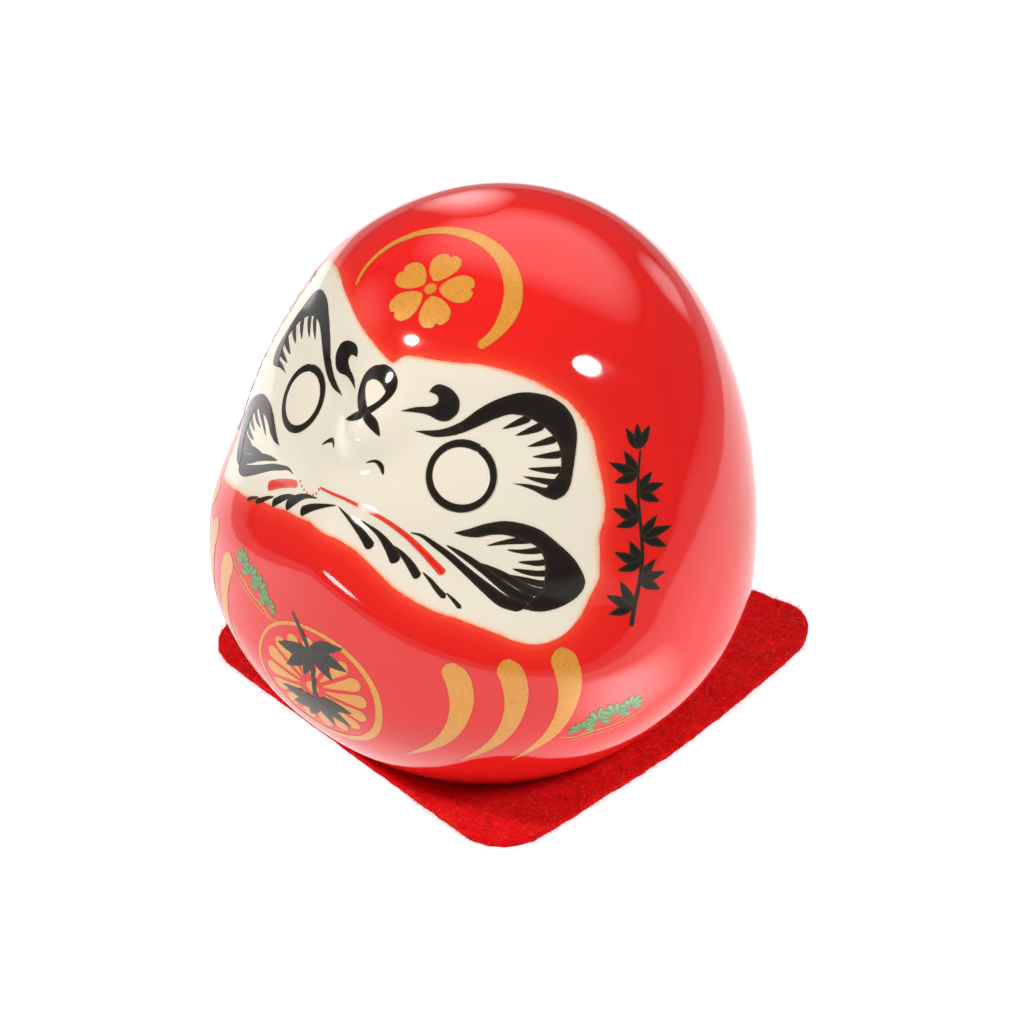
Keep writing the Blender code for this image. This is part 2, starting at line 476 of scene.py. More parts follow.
def inset(edge, depth):
    """Points that deep inside an outline, left out where it is too narrow for them."""
    along = np.roll(edge, -1, axis=0) - np.roll(edge, 1, axis=0)
    along /= np.maximum(np.linalg.norm(along, axis=1, keepdims=True), 1e-9)
    normal = np.stack([-along[:, 1], along[:, 0]], 1)
    if inside_by(edge, edge[0] + normal[0] * 1e-3) < 0:
        normal = -normal
    found = edge + normal * depth
    return [tuple(p) for p in found if inside_by(edge, p) > depth * 0.97]


def turns_left(flat, face):
    """Whether a face's corners run anticlockwise."""
    a, b, c = (flat[i] for i in face[:3])
    return (b.x - a.x) * (c.y - a.y) - (b.y - a.y) * (c.x - a.x) > 0


# ---------------------------------------------------------------- materials

class Maker:
    """A node material, with short ways to add what the finishes share."""

    def __init__(self, name):
        self.material = bpy.data.materials.new(name)
        self.material.use_nodes = True
        self.tree = self.material.node_tree
        self.shader = self.tree.nodes["Principled BSDF"]
        self.place = self.node("ShaderNodeTexCoord").outputs["Object"]

    def node(self, kind, **settings):
        made = self.tree.nodes.new(kind)
        for key, value in settings.items():
            setattr(made, key, value)
        return made

    def link(self, source, target):
        self.tree.links.new(source, target)

    def noise(self, wavelength, detail=2.0, roughness=0.5, stretch=None):
        """Noise whose grains are about a wavelength across, in metres."""
        made = self.node("ShaderNodeTexNoise")
        made.inputs["Scale"].default_value = 1.0 / wavelength
        made.inputs["Detail"].default_value = detail
        made.inputs["Roughness"].default_value = roughness
        source = self.place
        if stretch:
            mapping = self.node("ShaderNodeMapping")
            mapping.inputs["Scale"].default_value = stretch
            self.link(source, mapping.inputs["Vector"])
            source = mapping.outputs["Vector"]
        self.link(source, made.inputs["Vector"])
        return made.outputs["Fac"]

    def ramp(self, source, *stops):
        """Colours along a value: each stop is (value, (r, g, b))."""
        made = self.node("ShaderNodeValToRGB")
        band = made.color_ramp
        while len(band.elements) < len(stops):
            band.elements.new(0.5)
        for element, (value, colour) in zip(band.elements, stops):
            element.position = value
            element.color = (*colour, 1.0)
        self.link(source, made.inputs["Fac"])
        return made.outputs["Color"]

    def spread(self, source, low, high, to_low=0.0, to_high=1.0):
        """Maps a value from one range to another."""
        made = self.node("ShaderNodeMapRange")
        for key, value in zip(("From Min", "From Max", "To Min", "To Max"), (low, high, to_low, to_high)):
            made.inputs[key].default_value = value
        self.link(source, made.inputs["Value"])
        return made.outputs["Result"]

    def sum(self, first, second, share=1.0):
        """first + share * second."""
        made = self.node("ShaderNodeMath", operation="MULTIPLY_ADD")
        self.link(second, made.inputs[0])
        made.inputs[1].default_value = share
        self.link(first, made.inputs[2])
        return made.outputs["Value"]

    def mixed(self, share, first, second, blend="MIX"):
        """Mixes two colours; each is a socket or an (r, g, b)."""
        made = self.node("ShaderNodeMix", data_type="RGBA", blend_type=blend)
        for value, name in ((share, "Factor"), (first, "A"), (second, "B")):
            socket = made.inputs[name]
            if isinstance(value, bpy.types.NodeSocket):
                self.link(value, socket)
            elif isinstance(value, tuple):
                socket.default_value = (*value, 1.0)
            else:
                socket.default_value = value
        return made.outputs["Result"]

    def attribute(self, name):
        """A number that the mesh carries on its vertices."""
        return self.node("ShaderNodeAttribute", attribute_name=name).outputs["Fac"]

    def bumped(self, *layers):
        """Bumps, each (height socket, height in metres)."""
        normal = None
        for height, size in layers:
            made = self.node("ShaderNodeBump")
            made.inputs["Strength"].default_value = 1.0
            made.inputs["Distance"].default_value = size
            self.link(height, made.inputs["Height"])
            if normal is not None:
                self.link(normal, made.inputs["Normal"])
            normal = made.outputs["Normal"]
        self.link(normal, self.shader.inputs["Normal"])

    def set(self, **values):
        """Sets the shader's constants, named with _ for each space."""
        for key, value in values.items():
            self.shader.inputs[key.replace("_", " ")].default_value = value

    def colour(self, source):
        self.link(source, self.shader.inputs["Base Color"])

    def rough(self, source):
        self.link(source, self.shader.inputs["Roughness"])

    def gloss(self, low=0.05, high=0.10):
        """The doll's fired gloss: its slow wander, orange peel and the odd pinhole."""
        self.rough(self.spread(self.noise(0.006, 3.0), 0.3, 0.7, low, high))
        self.set(IOR=1.58)
        self.bumped((self.noise(0.0075, 1.0), 0.00006), (self.noise(0.0017, 1.5), 0.000008))


CREAM = (0.86, 0.78, 0.635)
RED = (0.80, 0.013, 0.010)


def red_glaze():
    """Red over the white body, lighter and more orange towards the edge of the face."""
    m = Maker("red_glaze")
    wander = m.spread(m.noise(0.0011, 3.0, 0.6), 0.25, 0.75, -0.12, 0.12)
    depth = m.sum(m.attribute("from_face"), wander)
    near = m.ramp(m.spread(depth, 0.0, 5.0), (0.0, (0.95, 0.23, 0.12)), (0.05, (0.93, 0.070, 0.034)),
                  (0.20, (0.89, 0.033, 0.016)), (0.50, (0.83, 0.018, 0.011)), (1.0, RED))
    patchy = m.spread(m.noise(0.018, 3.0), 0.35, 0.75, 0.0, 0.30)
    m.colour(m.mixed(patchy, near, (0.72, 0.010, 0.009)))
    m.gloss()
    return m.material


def face_glaze():
    """The bare cream glaze of the face, with a peach line where the red bleeds in."""
    m = Maker("face_glaze")
    wander = m.spread(m.noise(0.0009, 3.0, 0.6), 0.25, 0.75, -0.10, 0.10)
    depth = m.sum(m.attribute("depth"), wander)
    rim = m.ramp(m.spread(depth, 0.0, 1.2), (0.0, (0.95, 0.30, 0.17)), (0.13, (0.93, 0.55, 0.38)),
                 (0.34, (0.89, 0.74, 0.59)), (0.8, CREAM))
    cloud = m.spread(m.noise(0.011, 3.0), 0.3, 0.75, 0.0, 0.5)
    toned = m.mixed(cloud, rim, (0.95, 0.96, 0.95), "MULTIPLY")
    speck = m.ramp(m.noise(0.0012, 2.0, 0.6), (0.0, (0.70, 0.62, 0.48)), (0.27, (1.0, 1.0, 1.0)))
    m.colour(m.mixed(0.6, toned, speck, "MULTIPLY"))
    m.gloss()
    return m.material


def pale_glaze(name, wavelength, first, second):
    """A glaze that wanders between two pale colours."""
    m = Maker(name)
    m.colour(m.mixed(m.spread(m.noise(wavelength, 3.0), 0.3, 0.75), first, second))
    m.gloss()
    return m.material


def eye_glaze():
    """The blank eye: a warmer cream than the face."""
    return pale_glaze("eye_glaze", 0.004, (0.87, 0.78, 0.625), (0.86, 0.765, 0.605))


def eye_highlight_white():
    """Painted highlight: the white sliver that shows between the blank eye and its ring."""
    return pale_glaze("eye_highlight_white", 0.003, (0.95, 0.94, 0.90), (0.92, 0.90, 0.84))


def brushed(name, wavelength, grit, wander, full, stops, low=0.05, high=0.10):
    """Brushed colour: its stops run from the stroke's edge to full millimetres inside, give or take wander."""
    m = Maker(name)
    load = m.sum(m.attribute("depth"), m.spread(m.noise(wavelength, 3.0, grit), 0.3, 0.7, -wander, wander))
    m.colour(m.ramp(m.spread(load, 0.0, full), *stops))
    m.gloss(low, high)
    return m.material


def black_ink():
    """Brushed black, brown where it runs thin at the edges and the tips."""
    stops = (0.0, (0.060, 0.040, 0.018)), (0.25, (0.022, 0.016, 0.009)), (1.0, (0.012, 0.009, 0.007))
    return brushed("black_ink", 0.0006, 0.6, 0.06, 0.5, stops, 0.06, 0.13)


def mouth_red():
    """The thin red line of the mouth, paler at its edges."""
    stops = (0.0, (0.86, 0.10, 0.05)), (1.0, (0.78, 0.016, 0.010))
    return brushed("mouth_red", 0.0006, 0.5, 0.08, 0.35, stops)


def gold_paint():
    """Mica gold: ochre with a fine glitter under the gloss."""
    m = Maker("gold_paint")
    grain = m.noise(0.00022, 2.0, 0.7)
    glitter = m.ramp(grain, (0.30, (0.66, 0.255, 0.024)), (0.55, (0.77, 0.315, 0.036)),
                     (0.75, (0.90, 0.41, 0.075)))
    slow = m.spread(m.noise(0.004, 3.0), 0.3, 0.7, 0.0, 0.6)
    thin = m.ramp(m.spread(m.attribute("depth"), 0.0, 0.16), (0.0, (0.92, 0.50, 0.30)),
                  (1.0, (1.0, 1.0, 1.0)))
    toned = m.mixed(slow, glitter, (0.94, 0.91, 0.84), "MULTIPLY")
    m.colour(m.mixed(0.5, toned, thin, "MULTIPLY"))
    m.set(Metallic=0.12, IOR=1.55, Coat_Weight=0.5, Coat_Roughness=0.08)
    m.rough(m.spread(m.noise(0.0009, 2.0), 0.3, 0.7, 0.26, 0.40))
    m.bumped((m.noise(0.0075, 1.0), 0.00006), (grain, 0.000004))
    return m.material


def pine_green():
    """Thin green: paler along the middle of each needle stroke, with the red showing at its edges."""
    stops = (0.0, (0.130, 0.120, 0.035)), (0.25, (0.085, 0.185, 0.055)), (1.0, (0.170, 0.360, 0.120))
    return brushed("pine_green", 0.0005, 0.6, 0.10, 0.36, stops, 0.10, 0.18)


def bare_clay():
    """Unglazed white clay under the foot and inside."""
    m = Maker("bare_clay")
    grain = m.noise(0.0004, 4.0, 0.7)
    shade = m.ramp(grain, (0.25, (0.62, 0.56, 0.47)), (0.6, (0.80, 0.76, 0.69)))
    stain = m.spread(m.noise(0.009, 3.0), 0.45, 0.8, 0.0, 0.5)
    m.colour(m.mixed(stain, shade, (0.58, 0.45, 0.34)))
    m.rough(m.spread(grain, 0.3, 0.7, 0.75, 0.95))
    m.bumped((grain, 0.00006))
    return m.material


def red_felt():
    """Pressed felt: matted fibres that run every way, and a soft sheen."""
    m = Maker("red_felt")
    long = m.noise(0.0010, 4.0, 0.7, stretch=(1.0, 0.25, 1.0))
    cross = m.noise(0.0010, 4.0, 0.7, stretch=(0.25, 1.0, 1.0))
    fibres = m.node("ShaderNodeMath", operation="MAXIMUM")
    m.link(long, fibres.inputs[0])
    m.link(cross, fibres.inputs[1])
    shade = m.ramp(fibres.outputs["Value"], (0.38, (0.54, 0.001, 0.002)), (0.55, (0.72, 0.003, 0.005)),
                   (0.75, (0.90, 0.016, 0.018)))
    cloud = m.spread(m.noise(0.007, 3.0), 0.3, 0.75, 0.0, 0.30)
    m.colour(m.mixed(cloud, shade, (0.62, 0.002, 0.003)))
    m.rough(m.spread(fibres.outputs["Value"], 0.3, 0.7, 0.85, 1.0))
    m.set(Sheen_Weight=0.15, Sheen_Roughness=0.5, Sheen_Tint=(1.0, 0.10, 0.10, 1.0), Specular_IOR_Level=0.08)
    m.bumped((fibres.outputs["Value"], 0.00025))
    return m.material


def felt_fibre():
    """Loose fibres, a little brighter than the felt and pink where they are thin."""
    m = Maker("felt_fibre")
    shade = m.noise(0.0006, 2.0)
    m.colour(m.ramp(shade, (0.30, (0.60, 0.004, 0.005)), (0.52, (0.86, 0.018, 0.019)),
                    (0.68, (0.92, 0.10, 0.09))))
    m.rough(m.spread(shade, 0.3, 0.7, 0.55, 0.8))
    m.set(Sheen_Weight=0.2, Sheen_Roughness=0.4, Sheen_Tint=(1.0, 0.3, 0.3, 1.0), Specular_IOR_Level=0.2)
    return m.material


# ---------------------------------------------------------------- what is painted on the doll

# The window that the red leaves for the face, from its peak down the doll's left side to the chin's middle
WINDOW_LEFT = [
    (0.0, 65.0), (1.2, 66.2), (2.8, 66.6), (6.0, 66.9), (10.7, 67.2), (14.5, 66.8), (18.4, 65.5),
    (21.5, 63.5), (24.2, 60.8), (26.4, 57.8), (28.4, 54.2), (29.8, 51.2), (30.5, 48.8), (30.7, 46.5),
    (31.6, 43.6), (31.9, 41.2), (31.6, 38.4), (31.4, 36.2), (30.6, 34.3), (28.8, 33.7), (26.4, 34.5),
    (23.4, 35.9), (20.0, 37.1), (16.4, 38.1), (12.4, 39.5), (9.0, 41.3), (4.6, 43.7), (0.6, 44.7),
    (-3.7, 44.4),
]
# and on down its right side, where the red was brushed a little further out
WINDOW_RIGHT = [
    (-3.7, 44.4), (-8.6, 43.0), (-12.3, 41.6), (-15.8, 40.3), (-20.4, 38.2), (-23.9, 36.7), (-26.6, 35.5),
    (-28.4, 34.4), (-30.3, 33.9), (-31.5, 35.4), (-32.0, 38.5), (-32.0, 42.0), (-31.5, 46.0), (-30.6, 50.0),
    (-29.6, 54.0), (-28.7, 57.4), (-27.4, 60.6), (-25.2, 63.2), (-22.1, 65.4), (-19.5, 66.6), (-16.8, 67.2),
    (-14.3, 67.3), (-11.4, 67.1), (-8.4, 66.6), (-5.4, 66.0), (-2.5, 65.5), (0.0, 65.0),
]

BROW = [
    [(6.5, 58.6), (9.3, 59.1), (11.4, 60.3), (13.2, 62.3), (15.0, 63.7), (17.2, 64.5), (19.6, 64.1),
     (21.4, 63.1), (22.9, 61.6), (24.1, 59.7), (25.0, 57.5), (25.7, 55.3), (26.1, 53.6), (26.0, 52.5),
     (25.3, 52.0)],
    [(25.3, 52.0), (24.3, 52.4), (22.9, 53.2), (21.7, 53.7), (20.3, 54.1)],
    [(20.3, 54.1), (22.0, 54.0), (23.9, 53.5)],
    [(23.9, 53.5), (24.5, 55.2), (24.0, 56.8), (23.0, 58.4), (21.5, 59.9), (19.8, 61.1), (18.3, 61.8)],
    [(18.3, 61.8), (16.9, 61.9), (15.5, 61.3), (14.0, 60.3), (12.3, 59.2), (10.6, 58.5), (8.7, 58.2),
     (6.5, 58.6)],
]
BROW_HAIRS = [  # (root, width, tip)
    ((19.2, 61.6), 1.25, (16.6, 60.1)),
    ((20.9, 60.6), 1.30, (18.3, 59.4)),
    ((22.8, 59.0), 1.15, (20.1, 58.2)),
    ((24.1, 57.2), 1.00, (21.1, 57.1)),
    ((24.6, 55.4), 0.95, (21.2, 55.8)),
    ((24.7, 54.0), 0.80, (21.1, 54.9)),
]

COMMA = [
    [(4.0, 60.8), (5.4, 61.3), (7.1, 61.6), (7.9, 62.2), (7.6, 63.0), (6.4, 63.3)],
    [(6.4, 63.3), (6.7, 64.0), (7.5, 64.4), (9.1, 64.1), (10.4, 63.1), (10.8, 61.5), (10.0, 60.3),
     (8.8, 60.1), (7.5, 60.5), (6.2, 60.7), (4.0, 60.8)],
]

BEARD = [
    [(15.7, 47.7), (17.4, 48.4), (19.1, 49.2), (21.0, 49.6), (23.0, 49.3), (25.1, 48.4), (27.3, 46.5),
     (29.1, 44.5), (30.3, 42.5), (30.9, 40.8), (30.6, 39.2), (29.3, 38.0), (27.6, 37.7), (25.8, 38.2)],
    [(25.8, 38.2), (26.3, 39.3), (27.0, 40.3), (27.0, 41.8), (26.8, 43.2), (26.3, 44.8), (25.3, 46.3),
     (23.6, 47.2), (22.7, 47.6)],
    [(22.7, 47.6), (21.4, 47.9), (20.0, 47.8), (18.6, 47.4), (17.0, 47.4), (15.7, 47.7)],
]
BEARD_HAIRS = [
    [(24.6, 47.3, 1.1), (22.6, 47.1, 0.8), (21.2, 46.8, 0.5), (19.9, 46.4, 0.15)],
    [(26.2, 46.0, 1.1), (24.8, 45.8, 0.8), (23.6, 45.8, 0.5), (22.2, 46.0, 0.12)],
    [(27.2, 44.4, 1.0), (26.0, 44.2, 0.8), (25.0, 44.3, 0.55), (23.8, 44.4, 0.15)],
    [(27.6, 42.8, 1.0), (26.2, 42.8, 0.8), (24.8, 43.1, 0.6), (23.4, 43.5, 0.15)],
    [(27.8, 41.2, 1.1), (26.4, 41.5, 0.85), (24.8, 42.1, 0.6), (23.1, 42.7, 0.15)],
]
BEARD_STRANDS = [  # the three long strands that sweep in under the mouth
    [(10.5, 47.0, 0.12), (12.0, 46.8, 0.40), (13.9, 45.8, 0.70), (16.1, 44.5, 0.85), (18.7, 42.6, 1.00),
     (21.2, 40.8, 1.15), (23.6, 39.2, 1.30), (26.0, 38.5, 1.60)],
    [(15.2, 46.0, 0.12), (16.9, 45.2, 0.60), (18.9, 44.1, 0.85), (20.8, 42.8, 0.95), (22.7, 41.3, 1.05),
     (24.6, 40.0, 1.10), (26.4, 39.2, 1.20)],
    [(19.6, 44.1, 0.12), (21.1, 43.4, 0.60), (22.6, 42.6, 0.90), (24.3, 41.5, 1.00), (25.8, 40.6, 1.10),
     (27.4, 40.0, 1.20)],
]

CHIN_STROKES = [
    [(0.2, 48.1, 0.12), (2.2, 47.2, 0.50), (4.4, 45.9, 0.90), (6.4, 44.3, 1.20)],
    [(3.9, 47.4, 0.12), (6.4, 46.3, 0.60), (8.3, 44.8, 1.05), (10.0, 43.0, 1.30)],
    [(8.8, 45.0, 0.12), (10.2, 44.1, 0.55), (11.7, 42.9, 0.85), (13.2, 41.5, 0.90)],
    [(13.4, 42.2, 0.12), (14.6, 41.4, 0.40), (15.9, 40.4, 0.55), (17.2, 39.5, 0.60)],
    [(17.0, 40.1, 0.12), (18.2, 39.3, 0.35), (19.4, 38.4, 0.45)],
]
MOUTH_LINES = [
    [(15.9, 42.2, 0.95), (14.3, 43.4, 0.90), (12.4, 44.9, 0.85), (10.3, 46.4, 0.75), (8.3, 47.5, 0.65),
     (6.3, 48.3, 0.55), (3.6, 49.0, 0.48), (0.8, 49.3, 0.42), (-1.9, 49.1, 0.38), (-4.0, 48.8, 0.30)],
    [(-8.9, 46.5, 0.95), (-10.8, 45.5, 1.05), (-13.2, 44.0, 1.15), (-15.8, 42.1, 1.15)],
]
MOUTH_DOTS = [  # where the line breaks up in the corner of the mouth
    (-8.4, 47.2), (-7.8, 46.9), (-7.1, 46.8), (-6.3, 46.8), (-5.6, 46.9), (-4.9, 47.3), (-4.3, 47.8),
    (-4.0, 48.5),
]

NOSE_LOOP = [
    [(-2.8, 58.3, 0.15), (-1.1, 59.5, 0.85), (0.1, 60.3, 0.90), (1.0, 61.1, 0.80), (1.5, 61.9, 0.95),
     (1.6, 62.6, 1.30), (1.2, 63.2, 1.60), (0.2, 63.7, 1.75), (-1.0, 63.8, 1.65), (-2.1, 63.4, 1.40)],
    [(-1.0, 63.8, 1.50), (-2.2, 63.4, 1.40), (-2.9, 62.7, 1.25), (-3.0, 62.0, 1.15), (-2.5, 61.3, 1.15),
     (-1.3, 60.7, 1.05), (0.3, 60.1, 0.80), (1.8, 59.4, 0.90), (3.1, 58.1, 0.15)],
]
NOSTRILS = [
    [(2.2, 54.4, 0.15), (3.3, 54.8, 0.42), (4.2, 54.2, 0.55), (4.8, 53.2, 0.20)],
    [(-6.5, 52.8, 0.15), (-5.6, 53.7, 0.40), (-4.6, 54.3, 0.55), (-3.9, 53.7, 0.20)],
]

EYE_CENTRE = (14.2, -20.6, 54.5)
EYE_FACING = (0.37, -0.74, 0.56)
EYE_RADIUS = 4.38  # to the middle of the ring
# The white that shows at one side of each eye is a painted highlight.
EYE_BLANK = (-0.16, -0.05)  # the cream of the eye is set a little off the ring, so white shows at one side

CREST_CENTRE = (-0.7, -7.0, 72.0)
CREST_FACING = (0.0, -0.40, 0.92)
CREST_RING = (-0.5, -1.5)
CREST_RADII = (12.1, 10.4)
CREST_START, CREST_SWEEP = 197, 220  # where its ring starts and how far it runs on clockwise, in degrees
BLOSSOM_CENTRE = (-0.2, -1.5)
BLOSSOM_TURN = 8
BLOSSOM_PETAL = [
    (0.0, 1.3), (1.4, 2.3), (2.25, 4.1), (1.85, 5.6), (0.6, 6.15), (0.0, 5.7), (-0.6, 6.15), (-1.85, 5.6),
    (-2.25, 4.1), (-1.4, 2.3),
]
STAMEN_LEANS = (-0.45, 0.0, 0.45)  # of the three in front of each petal, in radians

# One crescent of the robe, from its blunt head down its hollow side to the tail and back up the round side
CRESCENT = [
    [(0.9, 8.5), (-0.2, 8.1), (-0.8, 6.9), (-0.3, 5.2), (0.1, 3.0), (0.1, 0.6), (-0.6, -2.2), (-2.3, -5.6),
     (-6.1, -10.8)],
    [(-6.1, -10.8), (-2.6, -8.0), (0.2, -5.2), (2.3, -1.6), (3.4, 2.2), (3.3, 5.2), (2.5, 7.4), (0.9, 8.5)],
]
CRESCENT_REACH = 38.3  # from the doll's axis
CRESCENT_BEARINGS = (44.5, 41.0)  # of the middle one at the doll's left and at its right, from the front
CRESCENT_STEP = (7.4, 0.6)

RING_CENTRE = (1.0, 21.6)
RING_RADII = (10.7, 9.4)
PETALS = 16
PETAL_SHARES = (0.20, 0.36, 0.56, 0.72, 0.84)
PETAL_WIDTHS = (0.25, 0.80, 1.55, 2.20, 1.95)
BRANCH = [
    (-3.2, 32.2, 0.40), (-1.3, 29.9, 0.75), (0.3, 27.3, 0.80), (1.2, 23.4, 0.75), (1.4, 19.6, 0.80),
    (1.0, 16.6, 0.30),
]
LEAVES = [  # (hub, [(bearing, length, width)])
    ((0.2, 27.6), [(196, 6.2, 2.1), (228, 6.0, 2.2), (262, 4.6, 1.9), (322, 5.4, 2.1), (352, 6.6, 2.2),
                   (24, 6.2, 2.0)]),
    ((1.4, 19.4), [(186, 6.6, 2.1), (214, 6.2, 2.1), (244, 5.0, 1.9), (298, 4.8, 1.9), (330, 6.0, 2.1),
                   (2, 6.0, 2.1)]),
]
# Along a leaf: (share of its length, share of its width, share of its bend)
LEAF_PRESSES = ((0.04, 0.25, 0.0), (0.2, 0.75, 0.7), (0.42, 1.0, 1.0), (0.7, 0.7, 0.6), (1.0, 0.05, 0.0))

TUFTS = (((-3.4, -1.2), 2.2), ((-1.3, 0.0), 2.7), ((1.2, 0.8), 2.7), ((3.4, 1.6), 2.3))  # (foot, reach)
TUFT_NEEDLES = 7
NEEDLE = ((0.1, 0.50), (0.6, 0.95), (1.0, 0.80))  # (share of its length, width)
TWIGS = [
    [(-6.4, -3.0, 0.12), (-4.4, -3.3, 0.24), (-1.6, -2.5, 0.28), (1.4, -2.0, 0.28), (4.4, -1.0, 0.24),
     (6.4, 0.2, 0.12)],
    [(-5.2, -3.9, 0.10), (-2.4, -3.4, 0.20), (0.6, -2.9, 0.22), (3.6, -2.1, 0.20), (5.8, -1.1, 0.10)],
    [(-3.4, -3.1, 0.20), (-2.6, -2.2, 0.18), (-2.0, -1.2, 0.10)],
    [(1.6, -2.0, 0.20), (2.4, -1.1, 0.18), (3.0, -0.2, 0.10)],
]
PINES = [  # (centre, facing, turn, flip) of each tuft's chart
    ((35.5, -15.6, 20.6), (0.90, -0.42, -0.08), -8, 1),
    ((-11.8, -35.0, 32.2), (-0.32, -0.95, 0.12), 0, -1),
]

SPRIG_CENTRE = (33.6, -6.6, 46.4)
SPRIG_FACING = (0.82, -0.40, 0.40)
SPRIG_TOP = (2.5, 10.6)
SPRIG_FOOT = (-2.5, -13.4)
TOP_LEANS = (-26, 4, 34)  # of the three leaves at its top, in degrees from the stem
SPRAY = ((34, 3.9), (70, 4.4), (108, 3.7))  # (lean, length) of the three leaves of a side spray


def window_outline():
    """The edge of the red round the face, as an unsteady hand brushed it."""
    return unsteady(outline_of(WINDOW_LEFT, WINDOW_RIGHT), 0.16, 3.4, 3.0)


def crest(chart, gold):
    """A brushed ring round a five-petalled plum blossom."""
    ring = []
    steps = 24
    for i in range(steps + 1):
        share = i / steps
        turn = math.radians(CREST_START - share * CREST_SWEEP)
        press = min(1.0, share / 0.72) * (1 - 0.65 * eased((share - 0.80) / 0.20))
        ring.append((*on_ellipse(CREST_RING, CREST_RADII, turn), 0.45 + 2.05 * press))
    gold.stroke(chart, ring, layer=1)
    middle = Vector(BLOSSOM_CENTRE)
    for k in range(5):
        tip = Matrix.Rotation(math.radians(72 * k + BLOSSOM_TURN), 2)
        gold.fill(chart, closed_run([tip @ Vector(p) + middle for p in BLOSSOM_PETAL]), layer=1, rims=(0.2,))
        for lean in STAMEN_LEANS:
            aim = tip @ Matrix.Rotation(lean, 2) @ Vector((0, 1))
            gold.stroke(chart, [(*middle, 0.30), (*(middle + aim), 0.26)], layer=1, lanes=2)


def emblem(chart, gold, black):
    """A gold ring and chrysanthemum on the belly, with bamboo leaves brushed over them."""
    turns = [math.radians(100 - 6 * i) for i in range(61)]
    ring = [(*on_ellipse(RING_CENTRE, RING_RADII, t), 0.80 + 0.30 * math.cos(t + 0.6)) for t in turns]
    gold.stroke(chart, ring, layer=1)
    for k in range(PETALS):
        aim = Vector(on_ellipse((0, 0), RING_RADII, 2 * math.pi * (k + 0.3) / PETALS))
        spots = [Vector(RING_CENTRE) + aim * share for share in PETAL_SHARES]
        gold.stroke(chart, [(*spot, width) for spot, width in zip(spots, PETAL_WIDTHS)], layer=1)
    gold.fill(chart, ellipse(RING_CENTRE, (1.15, 1.0), 0, 350, 24), layer=1)
    black.stroke(chart, BRANCH, layer=2)
    for hub, leaves in LEAVES:
        for bearing, length, width in leaves:
            leaf(black, chart, Vector(hub), bearing, length, width, layer=2)


def leaf(black, chart, root, bearing, length, width, layer=1, mirror=False):
    """One pointed leaf in a single press of the brush; its bearing is in degrees from the chart's right."""
    turn = math.radians(bearing)
    aim = Vector((math.cos(turn), math.sin(turn)))
    side = Vector((-aim.y, aim.x)) * 0.05 * length
    path = []
    for share, press, bow in LEAF_PRESSES:
        spot = root + aim * length * share + side * bow
        path.append((spot.x, spot.y, width * press))
    black.stroke(chart, path, layer=layer, mirror=mirror)


def pine(chart, green, gold, flip):
    """Tufts of pine needles, brushed as soft fans that run into each other, over fine gold twigs."""
    for (u, v), reach in TUFTS:
        for k in range(TUFT_NEEDLES):
            turn = math.radians(90 + 210 * (k / (TUFT_NEEDLES - 1) - 0.5))
            length = reach * (0.88 + 0.12 * math.sin(5.1 * k + u))
            path = []
            for share, width in NEEDLE:
                across = u + share * length * math.cos(turn)
                path.append((flip * across, v - 0.5 + share * length * math.sin(turn) * 0.92, width))
            green.stroke(chart, path, layer=1)
    for twig in TWIGS:
        gold.stroke(chart, [(flip * u, v, w) for u, v, w in twig], layer=1, lanes=2)


def sprig(chart, black, mirror):
    """An upright leafy sprig: one bowed stem with sprays of three leaves on either side of it by turns."""
    top, foot = Vector(SPRIG_TOP), Vector(SPRIG_FOOT)
    side = Vector((foot.y - top.y, top.x - foot.x)).normalized()
    spots = [top.lerp(foot, k / 8) + side * 0.45 * math.sin(k * 0.95) for k in range(9)]
    black.stroke(chart, [(*spot, 0.34 + 0.05 * k) for k, spot in enumerate(spots)], layer=1, mirror=mirror)
    upright = math.degrees(math.atan2(top.y - foot.y, top.x - foot.x))
    for lean in TOP_LEANS:
        leaf(black, chart, spots[0], upright + lean, 3.6, 1.35, mirror=mirror)
    for k in range(1, 8):
        way = 1 if k % 2 else -1
        for lean, length in SPRAY:
            longer = 0.3 * math.sin(k * 1.7 + lean)
            leaf(black, chart, spots[k], upright + way * lean, length + longer, 1.45, mirror=mirror)


def paint(body):
    """Everything that is painted on the doll."""
    front = Chart(body)
    black, gold, green, red, cream = black_ink(), gold_paint(), pine_green(), mouth_red(), face_glaze()
    paint_window(front, cream)
    paint_hair(front, black)
    paint_mouth(front, red)
    paint_eyes(Chart(body, EYE_CENTRE, EYE_FACING), black)
    paint_ornament(body, front, black, gold, green)


def paint_window(front, cream):
    """The cream face inside the red."""
    face = Films()
    face.fill(front, window_outline(), layer=1, step=0.6, rims=(0.18, 0.45, 0.9))
    face.build("face_window", cream)


def paint_hair(front, black):
    """The black brushwork of the face: brows, beard, the strokes on the chin, and the marks on the nose."""
    brows, beard, chin, nose = Films(), Films(), Films(), Films()
    for mirror in (False, True):
        for outline in (BROW, COMMA):
            brows.fill(front, outline_of(*outline), layer=3, rims=(0.15,), mirror=mirror)
        for root, width, tip in BROW_HAIRS:
            middle = tuple(0.45 * r + 0.55 * t for r, t in zip(root, tip))
            hair = [(*root, width), (*middle, width * 0.62), (*tip, 0.10)]
            brows.stroke(front, hair, layer=2, mirror=mirror)
        beard.fill(front, outline_of(*BEARD), layer=3, rims=(0.15,), mirror=mirror)
        for path in BEARD_HAIRS + BEARD_STRANDS:
            beard.stroke(front, path, mirror=mirror)
        for path in CHIN_STROKES:
            chin.stroke(front, path, mirror=mirror)
    for path in NOSE_LOOP + NOSTRILS:
        nose.stroke(front, path)
    brows.build("brows", black)
    beard.build("beard", black)
    chin.build("chin_strokes", black)
    nose.build("nose_marks", black)


